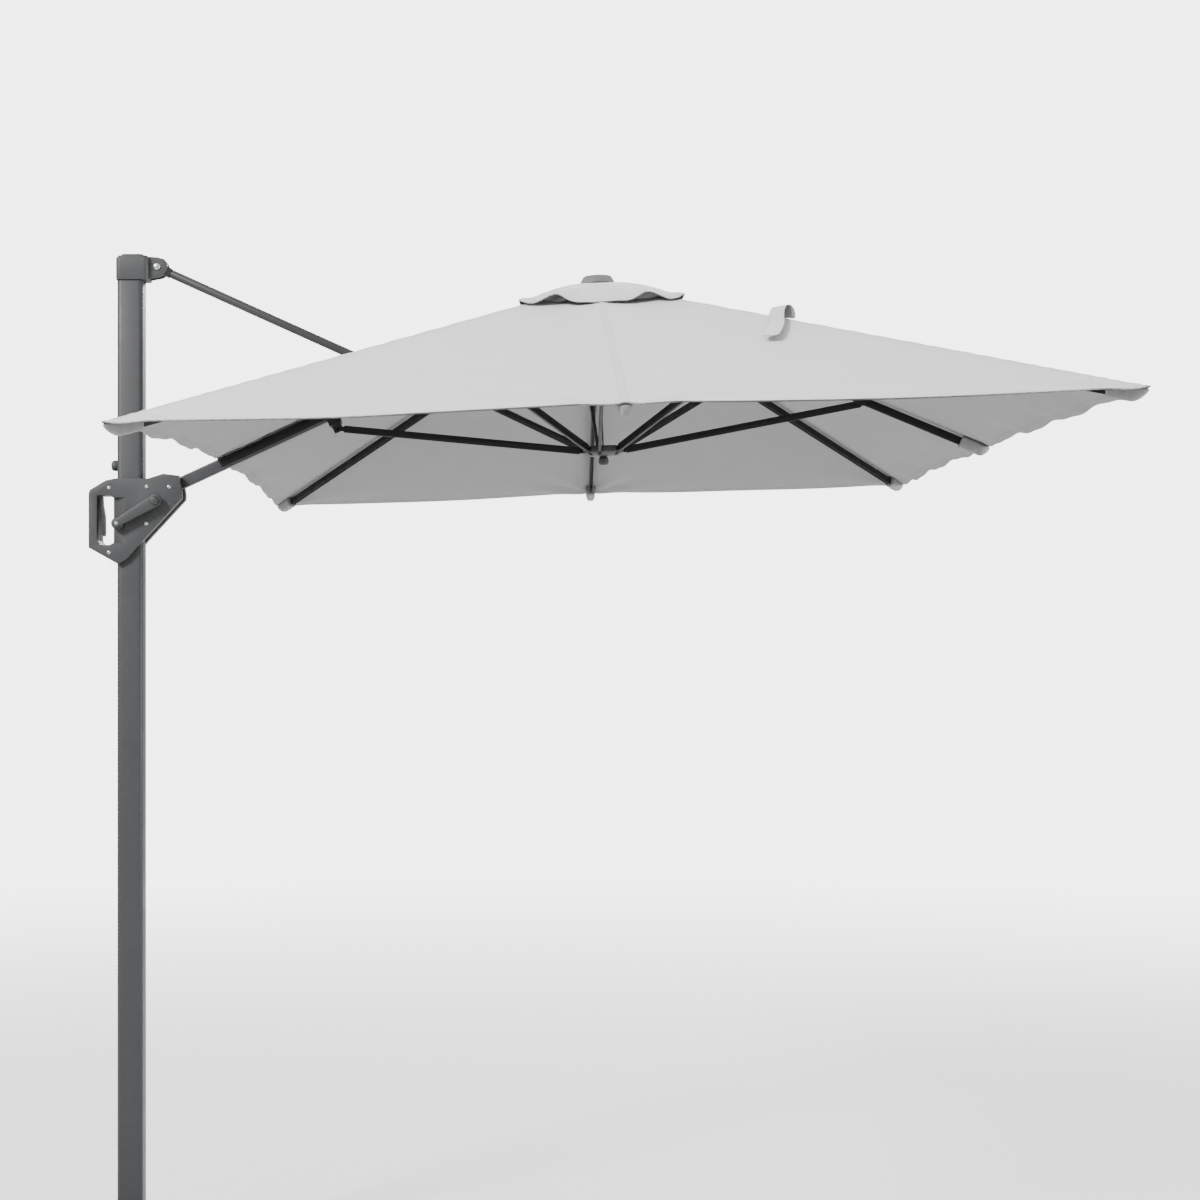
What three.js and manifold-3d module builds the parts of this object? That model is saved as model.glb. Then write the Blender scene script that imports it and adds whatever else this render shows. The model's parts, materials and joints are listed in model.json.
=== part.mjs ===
// A cantilever parasol: a square mast on a steel cross foot carries an arm and a strut, and a
// rectangular canopy with eight folding ribs hangs from the end of the arm.
// Millimetres, +Z up. The origin is on the ground under the mast, and +X runs out along the arm.
import * as THREE from 'three';
import { mergeVertices } from 'three/addons/utils/BufferGeometryUtils.js';
import Module from 'manifold-3d';

const wasm = await Module();
wasm.setup();

const GAP = 0.3;                                // clearance between pieces that touch

const MAST = { side: 66, wall: 2, corner: 11, bottom: 90, top: 2556 };
const FOOT = { reach: 693, start: 32, width: 50, height: 40, wall: 3, pad: 6 };
const HOUSING = { radius: 70, bore: 20, bottom: 52, top: 80 };

const CLEVIS = { x: 68, z: 2580.5, lug: 13, eye: 14 };   // where the strut hangs on the mast cap
const PIVOT = { x: 103, z: 2012 };                       // where the arm swings in the carrier
const ARM = { angle: 24.8, depth: 31, width: 28, wall: 2, end: 1114 };
const ELBOW_X = 709;                                     // where the strut meets the arm
const STRUT = { radius: 11, wall: 1.8 };

const CANOPY = { x: 1203, z: 2549, tilt: 1.95, halfX: 1000, halfY: 1500, drop: 465, mastLift: 32 };
const VENT = { halfX: 200, halfY: 300, drop: 93, clampX: 26, clampY: 39, clampDrop: 12 };
const FABRIC = { thick: 2, sink: 12.5, ventShare: 0.14, armSlit: 34 };
const CROWN = { radius: 76, hinge: 66, level: 57, top: 44, bottom: 69 };
const RUNNER = { radius: 53, hinge: 44, core: 35.5, open: 385, closed: 1330 };
const RIB = { width: 12, depth: 20, wall: 1.8, end: 14, under: 18 };
const STRETCHER = { width: 8, depth: 18 };
const BRACKET = { drop: 40, plate: 26, thick: 4, passage: 5, yokeAt: 262 };   // below the twin rib

const CARRIER = { half: 46, plate: 20, slotLeft: -82, slotRight: -41 };
const CRANK = { x: -28, z: 1918, angle: 30.4, length: 114 };
const TRIGGER = { x: -78, z: 1986, length: 100, thick: 6 };

const deg = THREE.MathUtils.degToRad;

// ---- finishes -------------------------------------------------------------------------------
const paint = (color, roughness, metalness) =>
  new THREE.MeshStandardMaterial({ color, roughness, metalness });
const LOOK = {
  frame: () => paint(0x56585b, 0.45, 0.6),
  steel: () => paint(0x3d3f42, 0.5, 0.6),
  plastic: () => paint(0x4b4d50, 0.55, 0),
  light: () => paint(0x8f9295, 0.5, 0),
  bolt: () => paint(0xb9bcbf, 0.3, 1),
  rubber: () => paint(0x202122, 0.85, 0),
  fabric: () => paint(0xd9d9d6, 0.95, 0),
};

// ---- solids ---------------------------------------------------------------------------------
function bare(geometry) {
  const flat = geometry.index ? geometry.toNonIndexed() : geometry.clone();
  for (const name of Object.keys(flat.attributes)) {
    if (name !== 'position') flat.deleteAttribute(name);
  }
  return mergeVertices(flat, 1e-3);
}

function solid(geometry) {
  const g = bare(geometry);
  const vertProperties = new Float32Array(g.attributes.position.array);
  return new wasm.Manifold(new wasm.Mesh({
    numProp: 3, vertProperties, triVerts: new Uint32Array(g.index.array),
  }));
}

function geometryOf(manifold) {
  const mesh = manifold.getMesh();
  const g = new THREE.BufferGeometry();
  const count = mesh.vertProperties.length / mesh.numProp;
  const points = new Float32Array(count * 3);
  for (let i = 0; i < count; i += 1) {
    for (let k = 0; k < 3; k += 1) {
      points[3 * i + k] = mesh.vertProperties[mesh.numProp * i + k];
    }
  }
  g.setAttribute('position', new THREE.BufferAttribute(points, 3));
  g.setIndex([...mesh.triVerts]);
  const shown = g.toNonIndexed();
  shown.computeVertexNormals();
  return shown;
}

function join(...parts) {
  return geometryOf(parts.map(solid).reduce((a, b) => a.add(b)));
}

function cut(part, ...tools) {
  return geometryOf(tools.map(solid).reduce((a, b) => a.subtract(b), solid(part)));
}

// A box given by its lowest and highest corner.
function box(low, high) {
  const size = low.map((v, i) => high[i] - v);
  const mid = low.map((v, i) => (high[i] + v) / 2);
  return new THREE.BoxGeometry(...size).translate(...mid);
}

// A solid of revolution about Z: the profile is [radius, height] points from the axis to the axis.
function turned(profile, sides = 24) {
  return new THREE.LatheGeometry(profile.map(([r, z]) => new THREE.Vector2(r, z)), sides)
    .rotateX(Math.PI / 2);
}

function rod(radius, low, high, sides = 20) {
  return turned([[0, low], [radius, low], [radius, high], [0, high]], sides);
}

// A rod along Y through x, z.
function pinY(radius, x, z, low, high, sides = 20) {
  return rod(radius, low, high, sides).rotateX(-Math.PI / 2).translate(x, 0, z);
}

function roundedRectangle(path, halfX, halfY, radius) {
  path.moveTo(halfX, -halfY + radius);
  path.lineTo(halfX, halfY - radius);
  path.absarc(halfX - radius, halfY - radius, radius, 0, Math.PI / 2);
  path.lineTo(-halfX + radius, halfY);
  path.absarc(-halfX + radius, halfY - radius, radius, Math.PI / 2, Math.PI);
  path.lineTo(-halfX, -halfY + radius);
  path.absarc(-halfX + radius, -halfY + radius, radius, Math.PI, 1.5 * Math.PI);
  path.lineTo(halfX - radius, -halfY);
  path.absarc(halfX - radius, -halfY + radius, radius, 1.5 * Math.PI, 2 * Math.PI);
  return path;
}

function prism(shape, low, high, curveSegments = 6) {
  return new THREE.ExtrudeGeometry(shape, { depth: high - low, bevelEnabled: false, curveSegments })
    .translate(0, 0, low);
}

// A square tube along Z, open at both ends.
function squareTube(side, depth, wall, radius, low, high) {
  const shape = roundedRectangle(new THREE.Shape(), side / 2, depth / 2, radius);
  const inner = roundedRectangle(new THREE.Path(), side / 2 - wall, depth / 2 - wall,
    Math.max(radius - wall, 0.5));
  shape.holes.push(inner);
  return prism(shape, low, high, 3);
}

function outline(points) {
  return new THREE.Shape(points.map(([x, y]) => new THREE.Vector2(x, y)));
}

// A plate that shows its outline in the XZ plane, between two depths along Y.
function plateXZ(shape, low, high) {
  return prism(shape, -high, -low).rotateX(Math.PI / 2);
}

// A bar lying along X with rounded ends, seen from the side: depth in Z and thickness in Y.
function barX(from, to, depth, low, high) {
  const r = depth / 2;
  const shape = new THREE.Shape();
  shape.absarc(from, 0, r, Math.PI / 2, 1.5 * Math.PI);
  shape.absarc(to, 0, r, 1.5 * Math.PI, 2.5 * Math.PI);
  return plateXZ(shape, low, high);
}

// A channel along X that is open below, with a solid rounded tongue at its inner end.
function channelX(from, to, width, depth, wall) {
  const top = box([from, -width / 2, -depth / 2], [to, width / 2, depth / 2]);
  const open = box([from + 12, -width / 2 + wall, -depth], [to - 4, width / 2 - wall,
    depth / 2 - wall]);
  return cut(top, open);
}

const group = new THREE.Group();

function add(parent, name, geometry, look) {
  const mesh = new THREE.Mesh(geometry, LOOK[look]());
  mesh.name = name;
  parent.add(mesh);
  return mesh;
}

function place(parent, position, rotationY = 0, rotationZ = 0) {
  const g = new THREE.Group();
  g.position.set(...position);
  g.rotation.set(0, rotationY, rotationZ);
  parent.add(g);
  return g;
}

// ---- foot and mast --------------------------------------------------------------------------
function crossFoot() {
  const { reach, start, width, height, wall, pad } = FOOT;
  const corners = ['outer_left', 'outer_right', 'rear_right', 'rear_left'];
  corners.forEach((corner, i) => {
    const leg = place(group, [0, 0, 0], 0, deg(-45 + 90 * i));
    const tube = squareTube(height, width, wall, 5, start, reach)
      .rotateY(Math.PI / 2).translate(0, 0, pad + height / 2);
    add(leg, `foot_leg_${corner}`, tube, 'steel');
    const cap = box([reach + GAP, -width / 2, 0], [reach + 8, width / 2, pad + height]);
    const sole = box([reach - 60, -width / 2, 0], [reach + 8, width / 2, pad - GAP]);
    add(leg, `foot_pad_${corner}`, join(cap, sole), 'rubber');
  });
  const deck = pad + height + GAP;
  add(group, 'foot_centre', rod(24, 0, deck - GAP, 24), 'steel');
  add(group, 'foot_plate', box([-90, -90, deck], [90, 90, HOUSING.bottom - GAP]), 'steel');
  add(group, 'swivel_housing', turned([
    [0, HOUSING.bottom], [HOUSING.radius, HOUSING.bottom], [HOUSING.radius, HOUSING.top - 5],
    [HOUSING.radius - 5, HOUSING.top], [HOUSING.bore, HOUSING.top],
    [HOUSING.bore, HOUSING.bottom + 4], [0, HOUSING.bottom + 4],
  ], 32), 'plastic');
  const lever = join(
    box([-152, -22, 62], [-92, 22, 68]),
    box([-94, -12, 56], [-HOUSING.radius - 2, 12, 68]),
  );
  add(group, 'swivel_pedal', lever, 'steel');
}

function mast() {
  const { side, wall, corner, bottom, top } = MAST;
  const spigot = HOUSING.bore - 0.6;
  add(group, 'mast_flange', turned([
    [0, HOUSING.bottom + 5], [spigot, HOUSING.bottom + 5], [spigot, HOUSING.top + GAP],
    [HOUSING.radius - 3, HOUSING.top + GAP], [HOUSING.radius - 3, bottom - GAP - 2],
    [HOUSING.radius - 6, bottom - GAP], [0, bottom - GAP],
  ], 32), 'steel');
  add(group, 'mast_tube', squareTube(side, side, wall, corner, bottom, top), 'frame');
  add(group, 'mast_collar', cut(
    prism(roundedRectangle(new THREE.Shape(), 41, 41, 14), bottom, bottom + 30),
    prism(roundedRectangle(new THREE.Shape(), side / 2 + GAP, side / 2 + GAP, corner), 0, 200),
  ), 'plastic');
  const knob = turned([[0, 0.3], [14, 0.3], [14, 12], [11, 17], [6, 19], [0, 19]], 20)
    .rotateY(-Math.PI / 2).translate(-side / 2, 0, 2069);
  add(group, 'stop_knob', knob, 'plastic');
}

function mastCap() {
  const { x, z, lug } = CLEVIS;
  const low = MAST.top - 10;
  const sleeve = prism(roundedRectangle(new THREE.Shape(), 42, 37, 12), low, 2603)
    .translate(6, 0, 0);
  const dome = prism(roundedRectangle(new THREE.Shape(), 38, 33, 12), 2602, 2608)
    .translate(6, 0, 0);
  const crest = prism(roundedRectangle(new THREE.Shape(), 28, 24, 12), 2607, 2613)
    .translate(4, 0, 0);
  const lugs = new THREE.Shape();
  lugs.moveTo(40, z - 33);
  lugs.lineTo(x, z - 27);
  lugs.absarc(x, z, 27, 1.5 * Math.PI, 2.25 * Math.PI);
  lugs.lineTo(70, z + 24);
  lugs.lineTo(40, z + 26);
  const body = join(sleeve, dome, crest, plateXZ(lugs, -lug - 8, lug + 8));
  const inner = prism(roundedRectangle(new THREE.Shape(), MAST.side / 2 + GAP,
    MAST.side / 2 + GAP, MAST.corner), low - 10, MAST.top + 1);
  const mouth = box([48, -lug + 0.4, z - 60], [120, lug - 0.4, z + 60]);
  add(group, 'mast_cap', cut(body, inner, mouth, pinY(5.4, x, z, -40, 40)), 'plastic');
  const head = lug + 8.4;
  const bolt = turned([
    [0, -head - 5], [6, -head - 4.4], [9, -head - 2.4], [9.5, -head], [5, -head],
    [5, head], [9.5, head], [9, head + 2.4], [6, head + 4.4], [0, head + 5],
  ], 20).rotateX(-Math.PI / 2).translate(x, 0, z);
  add(group, 'cap_bolt', bolt, 'bolt');
}

// ---- strut and arm --------------------------------------------------------------------------
const elbow = { x: ELBOW_X, z: PIVOT.z + (ELBOW_X - PIVOT.x) * Math.tan(deg(ARM.angle)) };
const strutRun = Math.hypot(elbow.x - CLEVIS.x, CLEVIS.z - elbow.z);
const strutDrop = Math.atan2(CLEVIS.z - elbow.z, elbow.x - CLEVIS.x);

function strut() {
  const frame = place(group, [CLEVIS.x, 0, CLEVIS.z], strutDrop);
  const { radius, wall } = STRUT;
  const ring = new THREE.Shape();
  ring.absarc(0, 0, radius, 0, 2 * Math.PI);
  ring.holes.push(new THREE.Path().absarc(0, 0, radius - wall, 0, 2 * Math.PI));
  const tube = prism(ring, 36, strutRun - 58, 10).rotateY(Math.PI / 2);
  add(frame, 'strut_tube', tube, 'frame');
  const top = CLEVIS.lug - 1;
  const eye = cut(
    join(barX(0, 22, 2 * CLEVIS.eye - 4, -top, top),
      box([20, -top, -12], [35.7, top, 12])),
    pinY(5.4, 0, 0, -30, 30),
  );
  add(frame, 'strut_eye', eye, 'plastic');
  const cheek = ARM.width / 2 + 0.5;
  const outer = cheek + 3.6;
  const fork = join(
    box([strutRun - 57.6, -outer, -12], [strutRun - 40, outer, 12]),
    barX(strutRun - 45, strutRun, 22, -outer, -cheek),
    barX(strutRun - 45, strutRun, 22, cheek, outer),
  );
  add(frame, 'strut_fork', cut(fork, pinY(5.4, strutRun, 0, -40, 40)), 'plastic');
}

function arm() {
  const frame = place(group, [PIVOT.x, 0, PIVOT.z], -deg(ARM.angle));
  const { depth, width, wall, end } = ARM;
  const length = (end - PIVOT.x) / Math.cos(deg(ARM.angle));
  const run = (elbow.x - PIVOT.x) / Math.cos(deg(ARM.angle));
  const tube = squareTube(depth, width, wall, 4, 22, length).rotateY(Math.PI / 2);
  add(frame, 'arm_tube', cut(tube, pinY(5.4, run, 0, -40, 40)), 'frame');
  const tip = join(barX(0, 5, depth, -width / 2, width / 2),
    box([4, -width / 2, -depth / 2], [21.7, width / 2, depth / 2]));
  add(frame, 'arm_root', cut(tip, pinY(7, 0, 0, -40, 40)), 'plastic');
  const head = ARM.width / 2 + 4.3;
  const bolt = turned([
    [0, -head - 0.8], [7, -head - 0.8], [7, -head], [5, -head],
    [5, head], [7, head], [7, head + 0.8], [0, head + 0.8],
  ], 20).rotateX(-Math.PI / 2).translate(run, 0, 0);
  add(frame, 'elbow_bolt', bolt, 'bolt');
}

// ---- carrier: two half shells round the mast, with the hand slot, crank and release ---------
function carrierOutline() {
  return outline([
    [-103, 1856], [-28, 1814], [-4, 1828], [41, 1880], [135, 1982], [135, 1998], [128, 2041],
    [88, 2046], [48, 2033], [-33, 2034], [-58, 2029], [-99, 2005], [-103, 1997],
  ]);
}

function handSlot() {
  const { slotLeft, slotRight } = CARRIER;
  const shape = new THREE.Shape();
  shape.moveTo(slotLeft + 8, 1863);
  shape.lineTo(slotRight - 10, 1863);
  shape.absarc(slotRight - 10, 1873, 10, 1.5 * Math.PI, 2 * Math.PI);
  shape.lineTo(slotRight, 1981);
  shape.absarc(slotRight - 10, 1981, 10, 0, Math.PI / 2);
  shape.lineTo(slotLeft, 1991);
  shape.lineTo(slotLeft, 1875);
  return shape;
}

function carrierHalf(side) {
  const { half, plate } = CARRIER;
  const near = side * (GAP / 2);
  const far = side * half;
  const span = [Math.min(near, far), Math.max(near, far)];
  const body = plateXZ(carrierOutline(), ...span);
  const clear = MAST.side / 2 + 0.6;
  const channel = box([-clear, -clear, 1700], [clear, clear, 2100]);
  const cheek = box([clear - 1, -plate, 1700], [160, plate, 2100]);
  const slot = plateXZ(handSlot(), -60, 60);
  const boss = pinY(6.4, PIVOT.x, PIVOT.z, Math.min(side * 16, side * 24),
    Math.max(side * 16, side * 24));
  return join(cut(body, channel, cheek, slot), boss);
}

function carrier() {
  add(group, 'carrier_near_shell', carrierHalf(-1), 'plastic');
  add(group, 'carrier_far_shell', carrierHalf(1), 'plastic');
  const { x, z, length, thick } = TRIGGER;
  const lever = place(group, [x, 0, z], deg(-4));
  const shape = outline([
    [-3, 2], [3, 2], [thick / 2, -20], [thick / 2 + 3, -length / 2], [thick / 2, -length + 4],
    [0, -length], [-thick / 2, -length + 4], [-thick / 2, -20],
  ]);
  add(lever, 'release_trigger', plateXZ(shape, -17, 17), 'light');
}

function crank() {
  const side = -CARRIER.half;
  const frame = place(group, [CRANK.x, side, CRANK.z], -deg(CRANK.angle));
  const { length } = CRANK;
  const boss = pinY(17, 0, 0, -14, -0.5, 24);
  const lever = outline([
    [-14, -10], [0, -14], [length * 0.5, -10.5], [length, -13.5], [length + 9, -10],
    [length + 13.5, 0], [length + 9, 10], [length, 13.5], [length * 0.5, 10.5], [0, 14],
    [-14, 10], [-18, 0],
  ]);
  add(frame, 'crank_arm', join(boss, plateXZ(lever, -22, -13)), 'plastic');
  const knob = turned([
    [0, 0], [8, 0], [10, 6], [11, 14], [10, 20], [6, 23], [0, 23],
  ], 20).rotateX(Math.PI / 2).translate(length, -22 - GAP, 0);
  add(frame, 'crank_knob', knob, 'light');
}

// ---- canopy frame ---------------------------------------------------------------------------
// In the canopy's own frame the origin is the apex of the cloth and the axis of the folded
// bundle is Z. Each rib has a bearing in plan and a run to the hem.
const canopy = place(group, [CANOPY.x, 0, CANOPY.z], -deg(CANOPY.tilt));
const hip = THREE.MathUtils.radToDeg(Math.atan2(CANOPY.halfY, CANOPY.halfX));
const hipRun = Math.hypot(CANOPY.halfX, CANOPY.halfY);
const RIBS = [
  { name: 'outer', bearing: 0, run: CANOPY.halfX, drop: CANOPY.drop, side: 1 },
  { name: 'outer_right', bearing: hip, run: hipRun, drop: CANOPY.drop, side: -1 },
  { name: 'right', bearing: 90, run: CANOPY.halfY, drop: CANOPY.drop, side: 1 },
  { name: 'mast_right', bearing: 180 - hip, run: hipRun, drop: CANOPY.drop, side: 1 },
  { name: 'mast', bearing: 180, run: CANOPY.halfX, drop: CANOPY.drop - CANOPY.mastLift, side: 0 },
  { name: 'mast_left', bearing: hip - 180, run: hipRun, drop: CANOPY.drop, side: -1 },
  { name: 'left', bearing: -90, run: CANOPY.halfY, drop: CANOPY.drop, side: -1 },
  { name: 'outer_left', bearing: -hip, run: hipRun, drop: CANOPY.drop, side: 1 },
];

// Where a rib ends and how its stretcher meets it, so that both ends of the fold close exactly.
function ribPlan({ run, drop, side }) {
  const tip = run - RIB.end;
  const fall = FABRIC.sink + ((drop - FABRIC.sink) * tip) / run + RIB.under - CROWN.level;
  const slope = Math.atan2(fall, tip - CROWN.hinge);
  const [c, s] = [Math.cos(slope), Math.sin(slope)];
  const inset = CROWN.hinge - RUNNER.hinge;
  const e = side ? 0 : BRACKET.drop;
  const { open, closed } = RUNNER;
  const reach = (closed ** 2 - open ** 2 + 2 * e * (open * c + inset * s - inset))
    / (2 * (closed - open * s + inset * c));
  const joint = [CROWN.hinge + reach * c - e * s, -CROWN.level - reach * s - e * c];
  const rise = Math.atan2(joint[1] + CROWN.level + open, joint[0] - RUNNER.hinge);
  const length = Math.hypot(joint[1] + CROWN.level + open, joint[0] - RUNNER.hinge);
  return { slope, reach, rise, length, ribLength: Math.hypot(fall, tip - CROWN.hinge) };
}

function plainRib(plan) {
  const arm = channelX(-8, plan.ribLength, RIB.width, RIB.depth, RIB.wall);
  return cut(arm, pinY(3.4, 0, 0, -20, 20));
}

// The rib over the arm is a pair of bars, held apart by a yoke below the arm. Each bar carries half
// of the bracket for the stretcher, and the stretcher passes between the halves.
function twinRib(plan) {
  const inner = ARM.width / 2 + 5.4;
  const outer = inner + 9;
  const { drop, plate, thick, passage, yokeAt } = BRACKET;
  const at = plan.reach;
  const bars = [-1, 1].map((s) => {
    const [low, high] = [Math.min(s * inner, s * outer), Math.max(s * inner, s * outer)];
    return box([-8, low, -RIB.depth / 2], [plan.ribLength, high, RIB.depth / 2]);
  });
  const legs = [-1, 1].flatMap((s) => {
    const [low, high] = [Math.min(s * inner, s * outer), Math.max(s * inner, s * outer)];
    return [at, yokeAt].map((x) => box([x - 16, low, -plate - thick], [x + 16, high, 0]));
  });
  const halves = [-1, 1].flatMap((s) => {
    const [low, high, far] = [passage, passage + thick, outer].map((y) => s * y);
    return [
      box([at - 12, Math.min(low, high), -drop - 9], [at + 12, Math.max(low, high), -plate - 2]),
      box([at - 16, Math.min(low, far), -plate - thick], [at + 16, Math.max(low, far), -plate]),
    ];
  });
  const yoke = box([yokeAt - 16, -outer, -plate - thick], [yokeAt + 16, outer, -plate]);
  return cut(join(...bars, ...legs, ...halves, yoke),
    pinY(4.4, 0, 0, -60, 60), pinY(3.4, at, -drop, -20, 20));
}

function ribs() {
  for (const rib of RIBS) {
    const plan = ribPlan(rib);
    const plane = place(canopy, [0, 0, 0], 0, deg(rib.bearing));
    const hinge = place(plane, [CROWN.hinge, 0, -CROWN.level], plan.slope);
    add(hinge, `rib_${rib.name}`, rib.side ? plainRib(plan) : twinRib(plan), 'frame');
    const offset = rib.side * (RIB.width / 2 + STRETCHER.width / 2 + 0.7);
    const foot = place(plane, [RUNNER.hinge, offset, -CROWN.level - RUNNER.open], -plan.rise);
    const { width, depth } = STRETCHER;
    const bar = join(
      barX(0, 20, 12, -width / 2, width / 2),
      barX(plan.length - 20, plan.length, 12, -width / 2, width / 2),
      box([16, -width / 2, -depth / 2], [plan.length - 16, width / 2, depth / 2]),
    );
    add(foot, `stretcher_${rib.name}`, cut(bar, pinY(3, 0, 0, -20, 20, 12)), 'frame');
  }
}

function crown() {
  const { radius, hinge, level, top, bottom } = CROWN;
  const disc = turned([[0, -bottom], [radius, -bottom], [radius, -top], [0, -top]], 40);
  const post = rod(14, -top - 2, -FABRIC.thick - VENT.clampDrop - GAP);
  const slots = RIBS.filter((rib) => rib.side).map((rib) =>
    box([hinge - 14, -RIB.width / 2 - 0.6, -200], [200, RIB.width / 2 + 0.6, 0])
      .rotateZ(deg(rib.bearing)));
  const armSide = box([-200, -30.5, -200], [-hinge + 14, 30.5, 0]);
  const neck = box([-radius - 4, -ARM.width / 2, -bottom - 20], [-40, ARM.width / 2, -top]);
  const stub = pinY(4, -hinge, -level, -30, 30);
  const runnerStop = rod(16, -bottom - 8, -bottom + 1);
  add(canopy, 'crown_hub', join(cut(join(disc, post), ...slots, armSide), neck, stub, runnerStop),
    'plastic');
  const finial = turned([
    [0, -VENT.clampDrop - 2], [6, -VENT.clampDrop - 2], [6, -VENT.clampDrop + GAP],
    [42, -VENT.clampDrop + GAP], [45, -8], [45, 3], [38, 8], [24, 9.5], [0, 9.5],
  ], 32);
  add(canopy, 'finial', finial, 'light');
}

function runner() {
  const { radius, core, open } = RUNNER;
  const level = -CROWN.level - open;
  const disc = turned([
    [0, level - 14], [20, level - 14], [40, level - 12], [radius, level - 5],
    [radius, level + 11], [0, level + 11],
  ], 40);
  const slots = RIBS.map((rib) => {
    const offset = rib.side * (RIB.width / 2 + STRETCHER.width / 2 + 0.7);
    const half = STRETCHER.width / 2 + 0.6;
    return box([core, offset - half, level - 40], [radius + 20, offset + half, level + 40])
      .rotateZ(deg(rib.bearing));
  });
  add(canopy, 'runner_hub', cut(disc, ...slots), 'plastic');
  const knob = turned([
    [0, level - 36], [9, level - 36], [13, level - 32], [13, level - 18], [9, level - 14.3],
    [0, level - 14.3],
  ], 24);
  add(canopy, 'runner_knob', knob, 'plastic');
  add(canopy, 'hoist_cord', rod(2, level + 11.3, -CROWN.bottom - 8.3, 8), 'rubber');
}

// ---- cloth ----------------------------------------------------------------------------------
// A flat panel of cloth: three or four corners, thickened downwards.
function panel(corners, thick = FABRIC.thick) {
  const upper = corners.map((p) => new THREE.Vector3(...p));
  const lower = upper.map((p) => p.clone().setZ(p.z - thick));
  const n = upper.length;
  const points = [...upper, ...lower].flatMap((p) => p.toArray());
  const index = [];
  for (let i = 1; i < n - 1; i += 1) {
    index.push(0, i, i + 1, n, n + i + 1, n + i);
  }
  for (let i = 0; i < n; i += 1) {
    const j = (i + 1) % n;
    index.push(i, n + i, n + j, i, n + j, j);
  }
  const g = new THREE.BufferGeometry();
  g.setAttribute('position', new THREE.BufferAttribute(new Float32Array(points), 3));
  g.setIndex(index);
  g.computeVertexNormals();
  return g;
}

// A point of the main cloth, a share of the way from its apex to a corner of the hem.
function onCloth(x, y, drop, share) {
  return [x * share, y * share, -FABRIC.sink - (drop - FABRIC.sink) * share];
}

function mainPanels() {
  const { halfX, halfY, drop, mastLift } = CANOPY;
  const top = FABRIC.ventShare;
  const corner = (sx, sy) => [sx * halfX, sy * halfY, drop];
  // Neighbouring panels stop a little short of the hip that they share.
  const toward = (p, q) => {
    const way = new THREE.Vector3().subVectors(new THREE.Vector3(...q), new THREE.Vector3(...p));
    return new THREE.Vector3(...p).addScaledVector(way.normalize(), 2 * GAP).toArray();
  };
  const side = (a, b) => {
    const [highA, highB] = [onCloth(...a, top), onCloth(...b, top)];
    const [lowA, lowB] = [onCloth(...a, 1), onCloth(...b, 1)];
    return [toward(highA, highB), toward(lowA, lowB), toward(lowB, lowA), toward(highB, highA)];
  };
  add(canopy, 'canopy_panel_left', panel(side(corner(-1, -1), corner(1, -1))), 'fabric');
  add(canopy, 'canopy_panel_outer', panel(side(corner(1, -1), corner(1, 1))), 'fabric');
  add(canopy, 'canopy_panel_right', panel(side(corner(1, 1), corner(-1, 1))), 'fabric');
  const ridge = [-halfX, 0, drop - mastLift];
  const slit = box([-2000, -FABRIC.armSlit, -1000], [0, FABRIC.armSlit, 100]);
  add(canopy, 'canopy_panel_mast_right',
    cut(panel(side(corner(-1, 1), ridge)), slit), 'fabric');
  add(canopy, 'canopy_panel_mast_left',
    cut(panel(side(ridge, corner(-1, -1))), slit), 'fabric');
}

function ventCap() {
  const { halfX, halfY, drop, clampX, clampY, clampDrop } = VENT;
  const ring = (x, y, z) => [[-x, -y, z], [x, -y, z], [x, y, z], [-x, y, z]];
  const shell = (sink) => {
    const points = [...ring(halfX, halfY, -drop - sink), ...ring(clampX, clampY, -clampDrop - sink),
      ...ring(halfX, halfY, -drop - sink - 400)].map((p) => new THREE.Vector3(...p));
    return points;
  };
  const side = [0, 1, 2, 3];
  const solidUnder = (sink) => {
    const p = shell(sink).flatMap((v) => v.toArray());
    const index = [4, 5, 6, 4, 6, 7, 8, 10, 9, 8, 11, 10];
    for (const i of side) {
      const j = (i + 1) % 4;
      index.push(i, j, 4 + j, i, 4 + j, 4 + i, 8 + i, 8 + j, j, 8 + i, j, i);
    }
    const g = new THREE.BufferGeometry();
    g.setAttribute('position', new THREE.BufferAttribute(new Float32Array(p), 3));
    g.setIndex(index);
    return g;
  };
  const below = box([-1000, -1000, -1000], [1000, 1000, -drop - 1]);
  const cap = cut(solidUnder(0), solidUnder(FABRIC.thick), below, rod(7, -100, 100));
  add(canopy, 'vent_cap', cap, 'fabric');
}

// The tie that holds the folded canopy, looped up off the hip towards the outer left corner.
function closingStrap() {
  const share = 0.4;
  const [x, y, z] = onCloth(CANOPY.halfX, -CANOPY.halfY, CANOPY.drop, share);
  const at = place(canopy, [x, y, z + 0.6], 0, deg(-hip));
  const arch = new THREE.Shape();
  arch.absarc(0, 4, 24, 0, Math.PI);
  arch.lineTo(-24, -4);
  arch.lineTo(-21, -4);
  arch.absarc(0, 4, 21, Math.PI, 0, true);
  arch.lineTo(21, -8);
  arch.lineTo(24, -9);
  add(at, 'closing_strap', plateXZ(arch, -25, 25).translate(0, 0, 10), 'fabric');
}

crossFoot();
mast();
mastCap();
strut();
arm();
carrier();
crank();
crown();
ribs();
runner();
mainPanels();
ventCap();
closingStrap();

export default group;
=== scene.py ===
# %% [markdown]
# # A cantilever parasol
#
# A square mast stands on a steel cross foot. A carrier slides on the mast and takes the lower end
# of an arm, a strut hangs the arm from the mast's cap, and a rectangular canopy with eight folding
# ribs sits at the end of the arm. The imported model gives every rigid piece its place. This lesson
# loads it, finishes each surface, and adds what cloth and small fittings need.

# %% Load the frame
import json
import math

import bmesh
import bpy
import numpy as np
from mathutils import Matrix, Vector


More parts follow.
